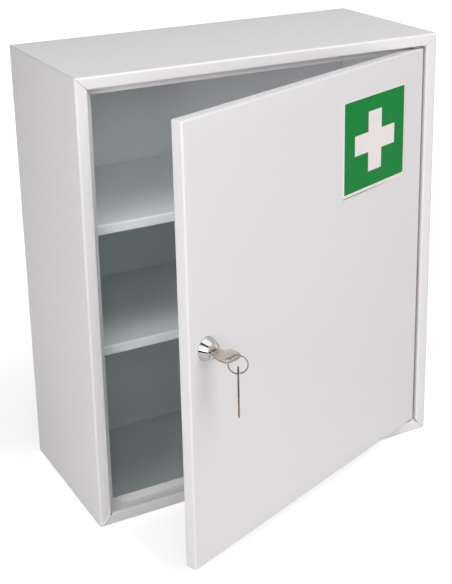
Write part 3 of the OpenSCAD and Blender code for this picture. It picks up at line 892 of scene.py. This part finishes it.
def line_at(line, angle, middle):
    """How far a closed line is from middle along rays at these angles: the distances
    of the line's own points, interpolated over their angles round the full turn"""
    offset = line - middle
    return np.interp(angle, np.arctan2(offset[:, 1], offset[:, 0]), np.linalg.norm(offset, axis=1),
                     period=2 * math.pi)


def dense(line, steps=12):
    """A closed line with `steps` points on each of its sides"""
    t = np.linspace(0, 1, steps, endpoint=False)[None, :, None]
    return (line[:, None] * (1 - t) + np.roll(line, -1, axis=0)[:, None] * t).reshape(-1, 2)


bow_line = dense(eased([(-5.2, LOCK_FACE + 0.4), (-9.2, 17.4), (-11.7, BOW_END - 10),
                        (-11.7, BOW_END - 3.6), (-8, BOW_END - 0.7), (0, BOW_END),
                        (6.5, BOW_END - 0.7), (10, BOW_END - 4.2), (11.5, BOW_END - 13),
                        (11.3, 17.4), (6, 16.4), (5, LOCK_FACE + 0.4)], BOW_EASE))
eye_r = (EYE_HIGH - EYE_LOW) / 2
eye_turn = np.linspace(-math.pi / 2, math.pi / 2, 17)[:, None]
eye_arc = np.hstack([np.cos(eye_turn), np.sin(eye_turn)]) * eye_r
eye_line = dense(np.concatenate([eye_arc + [EYE_RIGHT - eye_r, EYE_MID[1]],
                                 -eye_arc + [EYE_LEFT + eye_r, EYE_MID[1]]]))
print("bow outline:", len(bow_line), "points, eye:", len(eye_line), "points")

# %% [markdown]
# Rows of points run from the eye out to the edge over the front, round the edge, and
# back over the rear, so the plate is one closed ring. Close to an outline the rows
# follow a quarter circle, which rounds the stamped edge, and a shallow step makes the
# raised border.

# %% Key bow
BOW_ROUND, BORDER_STEP, BORDER_W, BORDER_SLOPE, EDGE_EXTRA = 0.3, 0.15, 1.1, 0.2, 0.6


def bow_plate(columns=220):
    """Each row lies at a distance out from the eye or in from the edge, and at a
    height. The border is BORDER_W wide round the eye and EDGE_EXTRA wider along the
    edge, and steps down by BORDER_STEP into the flat field."""
    a = np.linspace(0, 2 * math.pi, columns, endpoint=False)
    ray = np.stack([np.cos(a), np.sin(a)], axis=-1)
    inner, outer = line_at(eye_line, a, EYE_MID), line_at(bow_line, a, EYE_MID)
    top = KEY_T / 2
    q = np.linspace(0, math.pi / 2, 5)
    rim = np.column_stack([BOW_ROUND * (1 - np.cos(q)), top - BOW_ROUND + BOW_ROUND * np.sin(q)])
    border = np.array([[BORDER_W, top], [BORDER_W + BORDER_SLOPE, top - BORDER_STEP]])
    eye_side = np.concatenate([rim, border])
    edge_side = np.concatenate([rim, border + [EDGE_EXTRA, 0]])[::-1]
    reach = np.concatenate([inner + eye_side[:, :1], outer - edge_side[:, :1]])
    height = np.concatenate([eye_side[:, 1], edge_side[:, 1]])[:, None] + 0 * a
    reach, height = np.concatenate([reach, reach[::-1]]), np.concatenate([height, -height[::-1]])
    flat = EYE_MID + reach[..., None] * ray
    return sheet_of(np.stack([flat[..., 0], height, flat[..., 1]], axis=-1), close_rows=True,
                    close_cols=True)


# %% [markdown]
# The blade is a section carried along the key: flat faces with a milled groove, and
# edges that move in wherever a wafer has its cut. Each cut is a little V with a flat
# floor, as the cutter leaves it, so the edge's place is a formula of the height.

# %% Key blade
WAFER_FIRST, WAFER_PITCH, WAFER_T = -8.4, 2.9, 1.1
CUT_DEPTHS = np.array([0.5, 0.9, 0.4, 0.8, 0.6])
CUT_MIDDLES = WAFER_FIRST + WAFER_PITCH * np.arange(len(CUT_DEPTHS)) + WAFER_T / 2
CUT_FLOOR, TIP_L, TIP_IN = 1.0, 2.0, 1.6
GROOVE_W, GROOVE_DEPTH, GROOVE_SIDE, GROOVE_SLOPE = 1.4, 0.5, 1.2, 0.15
EDGE_THIN, EDGE_SHARE = 0.55, 0.1


def blade_edge(z):
    """Half width of the blade at height z: full, less the deepest cut there. A cut is
    flat for CUT_FLOOR mm and has flanks at 45 degrees; the tip narrows over TIP_L mm."""
    away = np.maximum(np.abs(z[:, None] - CUT_MIDDLES) - CUT_FLOOR / 2, 0)
    cut = np.maximum(CUT_DEPTHS - away, 0).max(axis=1)
    tip = np.maximum(0, TIP_IN * (1 - (z + BLADE_DEPTH) / TIP_L))
    return BLADE_W / 2 - cut - tip


def groove(x, middle):
    """Depth of a groove with steep flanks at x: full within half its width, then 0"""
    inside = (GROOVE_W / 2 - np.abs(x - middle)) / GROOVE_SLOPE + 0.5
    return GROOVE_DEPTH * np.clip(inside, 0, 1)


def key_blade(rows=150):
    """Section of the blade: across from -1 to 1 times its half width, as thick as the
    key and thinner towards both edges, with a groove on each face off its middle"""
    z = np.linspace(-BLADE_DEPTH, LOCK_FACE + 4, rows)
    across = np.concatenate([[-1, -0.97, -0.9], np.linspace(-0.85, 0.85, 35), [0.9, 0.97, 1]])
    x = blade_edge(z)[:, None] * across
    lift = np.minimum(1, np.sqrt(np.maximum(0, (1 - np.abs(across)) / EDGE_SHARE)))
    half_t = KEY_T / 2 * (EDGE_THIN + (1 - EDGE_THIN) * lift)
    upper, lower = half_t - groove(x, GROOVE_SIDE), groove(x, -GROOVE_SIDE) - half_t
    loop_x, loop_y = np.hstack([x, x[:, ::-1]]), np.hstack([upper, lower[:, ::-1]])
    grid = np.stack([loop_x, loop_y, np.broadcast_to(z[:, None], loop_x.shape)], axis=-1)
    return sheet_of(grid, close_cols=True, caps=(0, -1))


print("half width at the cuts, mm:", blade_edge(CUT_MIDDLES).round(2))

# %% [markdown]
# Two numbers at each point tell the key's material where its edges take painted shade
# and where the brass shows. They could be painted by hand. Here they follow from the
# shape: how far a point faces away from the flat sides, and whether the blade is cut there.

# %% Painted shade on the key's edges, and the key in the lock
# How the key's edges take the painted shade, and how the cuts are blurred
EDGE_SHADE_START, EDGE_SHADE_SLOPE = 1.4, 1.6
CUT_BLUR, CUT_ENDS = 0.2, 8.0


def shade_key_edges(piece, place, share):
    """Two numbers for each point of a key. edge is 1.4 - 1.6 |n . t| between 0 and 1, n
    being the way the point faces and t the way of the key's thickness. It is how much
    painted shade the point takes. cut is edge where the blade is cut. share tells how
    dark the painted shade on the edges gets."""
    base, *axes = place(np.array([[0, 0, 0], [1, 0, 0], [0, 1, 0], [0, 0, 1]], float))
    axes = np.array(axes) - base
    mesh = piece.data
    points, facing = np.empty((2, len(mesh.vertices) * 3))
    mesh.vertices.foreach_get("co", points)
    mesh.vertex_normals.foreach_get("vector", facing)
    z = (points.reshape(-1, 3) / MM - base) @ axes[2]
    edge = np.clip(EDGE_SHADE_START - EDGE_SHADE_SLOPE * np.abs(facing.reshape(-1, 3) @ axes[1]), 0, 1)
    depth = BLADE_W / 2 - blade_edge(np.minimum(z, CUT_ENDS))
    cut = edge * np.clip(depth / CUT_BLUR, 0, 1) * (z < CUT_ENDS)
    # edge carries the painted shade on the key's edges
    for name, values in (("edge", edge * share), ("cut", cut)):
        mesh.attributes.new(name, "FLOAT", "POINT").data.foreach_set("value", values)


key_parts = [bow_plate(), key_blade()]
main_key = make_piece("cabinet_key", key_parts, on_lock, "key", key_nickel, ["key"])
shade_key_edges(main_key, on_lock, 0.5)

# %% [markdown]
# ## Split ring and spare key
#
# The ring is one flat wire, wound twice round. Two plain rings side by side would look
# alike from afar, but a split ring has two ends and a place where it crosses over. So
# the wire's section is carried along a flat spiral, which stays on one level for most
# of a turn and then climbs to the other by a smooth step.

# %% Split ring
RING_R, RING_WIRE, COIL_T, COIL_GAP = 8.7, 1.1, 0.58, 0.04
RING_SIDE, RING_DROP, RING_YAW = 2.2, 6.1, math.radians(40.7)
RING_N = BOW_END - 0.6
WIRE_START, WIRE_TURNED, CROSS_AT, CROSS_OVER = (math.radians(d) for d in (24, 706, 354, 26))


def on_ring(p):
    """X and Y lie in the ring's plane, Y is up; the plane is turned about the upright"""
    b = RING_YAW - math.pi / 2
    c, s = math.cos(b), math.sin(b)
    x, z = p[:, 0] * c + p[:, 2] * s, -p[:, 0] * s + p[:, 2] * c
    return on_lock(np.stack([x + RING_SIDE, p[:, 1] - RING_DROP, z + RING_N], axis=1))


def split_ring(rows=260):
    """Wire round a circle: (r + u) (cos a, sin a), level + v, where (u, v) runs round
    the wire and the level changes by a smooth step while the wire crosses over"""
    a = np.linspace(WIRE_START, WIRE_START + WIRE_TURNED, rows)
    cross = np.clip((a - CROSS_AT) / CROSS_OVER, 0, 1)
    level = (COIL_T + COIL_GAP) * (cross * cross * (3 - 2 * cross) - 0.5)
    u, v = RING_WIRE / 2, COIL_T / 2
    wire = eased([(-u, -v), (u, -v), (u, v), (-u, v)], EASE, 4)
    r = RING_R + wire[None, :, 0]
    grid = np.stack([r * np.cos(a)[:, None], r * np.sin(a)[:, None],
                     level[:, None] + wire[None, :, 1]], axis=-1)
    return [sheet_of(grid, close_cols=True, caps=(0, -1))]


make_piece("split_ring", split_ring(), on_ring, "key_ring", ring_steel, ["key_ring"])

# %% [markdown]
# The spare key is the same key again, hung by its eye from the bottom of the ring. Only
# its placing is new, so the same grids are put into a second mesh. Its edges take twice
# the painted shade.

# %% Spare key
SPARE_SHIFT, EYE_GAP = 0.3, 0.4
HANG = EYE_HIGH - RING_WIRE / 2 - EYE_GAP


def on_spare(p):
    """The key's length goes up, its thickness along the ring and its width across it"""
    x, y, z = (p - [SPARE_SHIFT, 0, HANG]).T
    return on_ring(np.stack([y, z - RING_R, x], axis=1))


spare = make_piece("hanging_key", key_parts, on_spare, "spare_key", key_nickel,
                   ["spare_key"])
shade_key_edges(spare, on_spare, 1.0)

# %% [markdown]
# ## Floor, backdrop and light
#
# The studio is white: a plain floor that fades into a white world. More light would
# turn the floor white, but the cabinet too. So the floor and the world glow for the
# camera alone and, less so, for mirrors, and light nothing with that glow. The floor
# glows less near the cabinet, and the shadow stays on it.

# %% Floor material
FLOOR_TONE = 0.75
FADE_FROM, FADE_TO = 0.3, 1.3
GLOW_NEAR, GLOW_FAR, GLOW_IN_MIRRORS = 0.6, 1.0, 0.15


def scaled_ray(tree, ray, share, rest):
    """share times 1 for rays of this kind and times 0 for others, plus rest. Either
    may be a number or another node's output."""
    node = tree.nodes.new("ShaderNodeMath")
    node.operation = "MULTIPLY_ADD"
    tree.links.new(ray, node.inputs[0])
    for socket, value in zip(node.inputs[1:], (share, rest)):
        if isinstance(value, bpy.types.NodeSocket):
            tree.links.new(value, socket)
        else:
            socket.default_value = value
    return node.outputs[0]


def white_floor():
    """Matte, plus a glow that grows with the distance from the cabinet's middle"""
    material = bpy.data.materials.new("studio floor")
    material.use_nodes = True
    tree = material.node_tree
    tree.nodes.clear()
    out, matte, glow, both, path, place = (tree.nodes.new("ShaderNode" + kind) for kind in (
        "OutputMaterial", "BsdfDiffuse", "Emission", "AddShader", "LightPath", "TexCoord"))
    matte.inputs["Color"].default_value = (FLOOR_TONE, FLOOR_TONE, FLOOR_TONE, 1)
    away = tree.nodes.new("ShaderNodeVectorMath")
    away.operation = "LENGTH"
    tree.links.new(place.outputs["Object"], away.inputs[0])
    fade = add_range(tree, away.outputs["Value"], GLOW_NEAR, GLOW_FAR, FADE_FROM, FADE_TO)
    in_mirrors = scaled_ray(tree, path.outputs["Is Glossy Ray"], GLOW_IN_MIRRORS, 0)
    strength = scaled_ray(tree, path.outputs["Is Camera Ray"], fade, in_mirrors)
    tree.links.new(strength, glow.inputs["Strength"])
    tree.links.new(matte.outputs[0], both.inputs[0])
    tree.links.new(glow.outputs[0], both.inputs[1])
    tree.links.new(both.outputs[0], out.inputs["Surface"])
    return material


# %% [markdown]
# The floor is one big square, a hair below the cabinet, so that the two don't flicker
# where they meet. The world is a plain white, and its level as a light is low, because
# the lamps do the work.

# %% Floor
FLOOR_HALF, FLOOR_DOWN = 6000.0, 0.2
SQUARE = ((-1, -1), (1, -1), (1, 1), (-1, 1))
floor_mesh = bpy.data.meshes.new("floor")
floor_mesh.from_pydata([(x * FLOOR_HALF * MM, y * FLOOR_HALF * MM, -FLOOR_DOWN * MM)
                        for x, y in SQUARE], [], [(0, 1, 2, 3)])
floor_mesh.materials.append(white_floor())
floor = bpy.data.objects.new("floor", floor_mesh)
scene.collection.objects.link(floor)
print("floor", 2 * FLOOR_HALF, "mm wide")

# %% World
WORLD_LIGHT = 0.2
WORLD_FOR = (("Is Camera Ray", 1.0), ("Is Transmission Ray", 1.0), ("Is Glossy Ray", 0.5))
world = bpy.data.worlds.new("studio")
world.use_nodes = True
scene.world = world
tree = world.node_tree
sky = tree.nodes["Background"]
sky.inputs["Color"].default_value = (1, 1, 1, 1)
path = tree.nodes.new("ShaderNodeLightPath")
strength = WORLD_LIGHT
for ray, share in WORLD_FOR:
    strength = scaled_ray(tree, path.outputs[ray], share, strength)
tree.links.new(strength, sky.inputs["Strength"])
print("the world lights the cabinet with a level of", WORLD_LIGHT)

# %% [markdown]
# Four large soft lights: one above, one to the right and two to the left, of which the
# lower reaches in past the open door. A Point lamp could stand there too, but a wide
# Area light also gives the broad reflection that paint and chrome need. All of them
# face the cabinet.

# %% Lights
def soft_light(name, place, aim, size, power, colour):
    """A square area light at place, facing aim, both in mm"""
    data = bpy.data.lights.new(name, "AREA")
    data.shape = "SQUARE"
    data.size = size * MM
    data.energy = power
    data.color = colour
    light = bpy.data.objects.new(name, data)
    place, aim = np.array(place, float) * MM, np.array(aim, float) * MM
    back = (place - aim) / np.linalg.norm(place - aim)
    side = np.cross([0, 0, 1], back)
    side /= np.linalg.norm(side)
    pose = np.eye(4)
    pose[:3, 0], pose[:3, 1], pose[:3, 2], pose[:3, 3] = side, np.cross(back, side), back, place
    light.matrix_world = pose.T.tolist()
    scene.collection.objects.link(light)
    return light


MIDDLE = (0, -60, 230)
LIGHTS = [
    ("overhead light", (300, -700, 2100), 1200, 15.5, (1, 0.983, 0.988)),
    ("right light", (800, -2000, 1500), 1500, 18.2, (1, 0.930, 0.942)),
    ("left front light", (-900, -1900, 1300), 900, 7.2, (0.93, 0.967, 1)),
    ("left light", (-1800, -1200, 700), 1000, 21.0, (1, 0.938, 0.944)),
]
for name, place, size, power, colour in LIGHTS:
    soft_light(name, place, MIDDLE, size, power, colour)
    print(name, power, "W")

# %% [markdown]
# Chrome shows only what it mirrors, and in an empty white studio it would look white.
# Stripes painted on it would swing with the door, which a reflection doesn't do. So
# four cards stand round the lock, out of the camera's view, as a studio puts them: a
# white one that gives the bright streak, with a black one above and one below it, and
# a grey one overhead. Only mirrored rays meet them, so they throw no shadow and light
# nothing.

# %% Cards for the chrome
def mirror_card(name, azimuth, elevation, distance, width, height, glow):
    """A card of width by height mm that faces the lock. It's seen from the lock at an
    azimuth from the front towards the right and an elevation, both in degrees:
    (cos e sin a, -cos e cos a, sin e)."""
    material = bpy.data.materials.new(name)
    material.use_nodes = True
    shader = material.node_tree.nodes["Principled BSDF"]
    shader.inputs["Base Color"].default_value = (0, 0, 0, 1)
    shader.inputs["Specular IOR Level"].default_value = 0.0
    shader.inputs["Emission Color"].default_value = (1, 1, 1, 1)
    shader.inputs["Emission Strength"].default_value = glow
    a, e = math.radians(azimuth), math.radians(elevation)
    away = np.array([math.cos(e) * math.sin(a), -math.cos(e) * math.cos(a), math.sin(e)])
    side = np.cross(away, [0, 0, 1])
    side /= np.linalg.norm(side)
    up = np.cross(side, away)
    middle = on_lock(np.zeros((1, 3)))[0] + distance * away
    corners = [middle + x * side * width / 2 + z * up * height / 2 for x, z in SQUARE]
    mesh = bpy.data.meshes.new(name)
    mesh.from_pydata((np.array(corners) * MM).tolist(), [], [(0, 1, 2, 3)])
    mesh.materials.append(material)
    card = bpy.data.objects.new(name, mesh)
    scene.collection.objects.link(card)
    for kind in ("camera", "diffuse", "transmission", "volume_scatter", "shadow"):
        setattr(card, "visible_" + kind, False)
    return card


CARDS = [("low black card", -66, -10, 600, 400, 168, 0.03),
         ("white card", -62, 20.5, 1200, 760, 740, 1.8),
         ("high black card", -58, 54.5, 1100, 400, 270, 0.05),
         ("grey card", 0, 84, 1300, 1000, 900, 1.5)]
for card in CARDS:
    mirror_card(*card)
print(len(CARDS), "cards round the lock")
